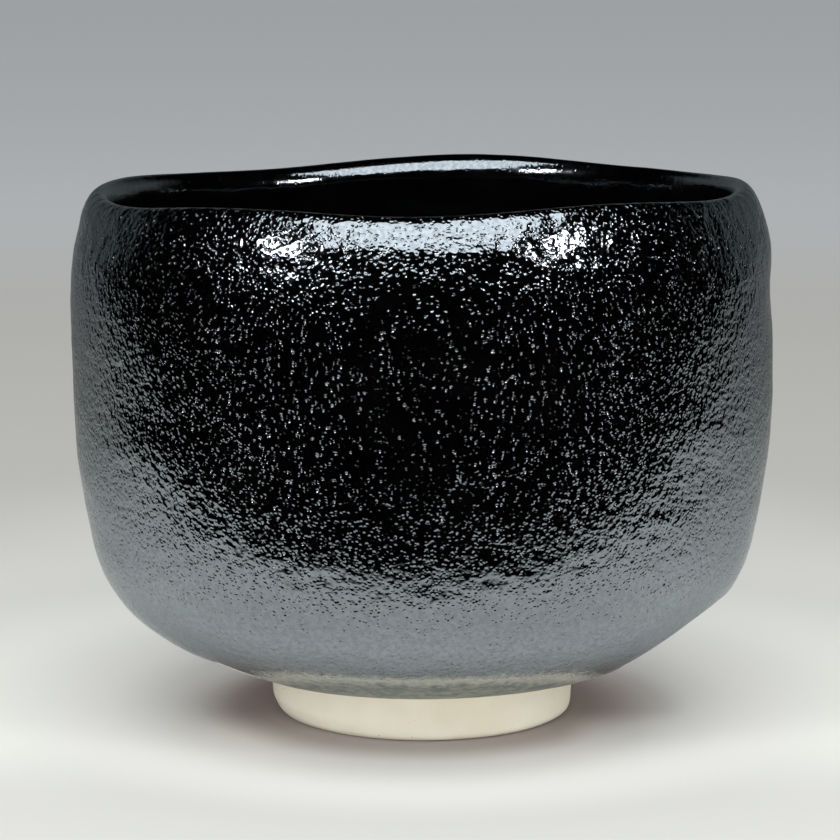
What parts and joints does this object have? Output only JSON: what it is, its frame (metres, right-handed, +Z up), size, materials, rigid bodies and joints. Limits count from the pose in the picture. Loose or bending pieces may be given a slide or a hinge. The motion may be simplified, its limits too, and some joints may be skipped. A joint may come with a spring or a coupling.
{
  "type": "matcha bowl",
  "caption": "Hand-formed tea bowl with thick black glaze, a soft wavy lip and a bare clay foot ring, for whisking and drinking matcha.",
  "frame": {"origin": "centre of the foot ring on the surface that the bowl stands on", "axes": "+Z up through the middle of the bowl; -Y is the bowl's front; +X is to the right of a person facing the front"},
  "size_m": [0.1125, 0.1124, 0.0866],
  "materials": {
    "clay": "bare cream-coloured fired clay, matt and fine-grained",
    "outer_glaze": "thick black glaze, glossy, with a fine pebbled surface",
    "inner_glaze": "thick black glaze, glossy, a little smoother than outside"
  },
  "bodies": {
    "root": {"clay_body": "clay", "foot_ring": "clay", "outer_glaze": "outer_glaze", "inner_glaze": "inner_glaze"}
  },
  "joints": []
}
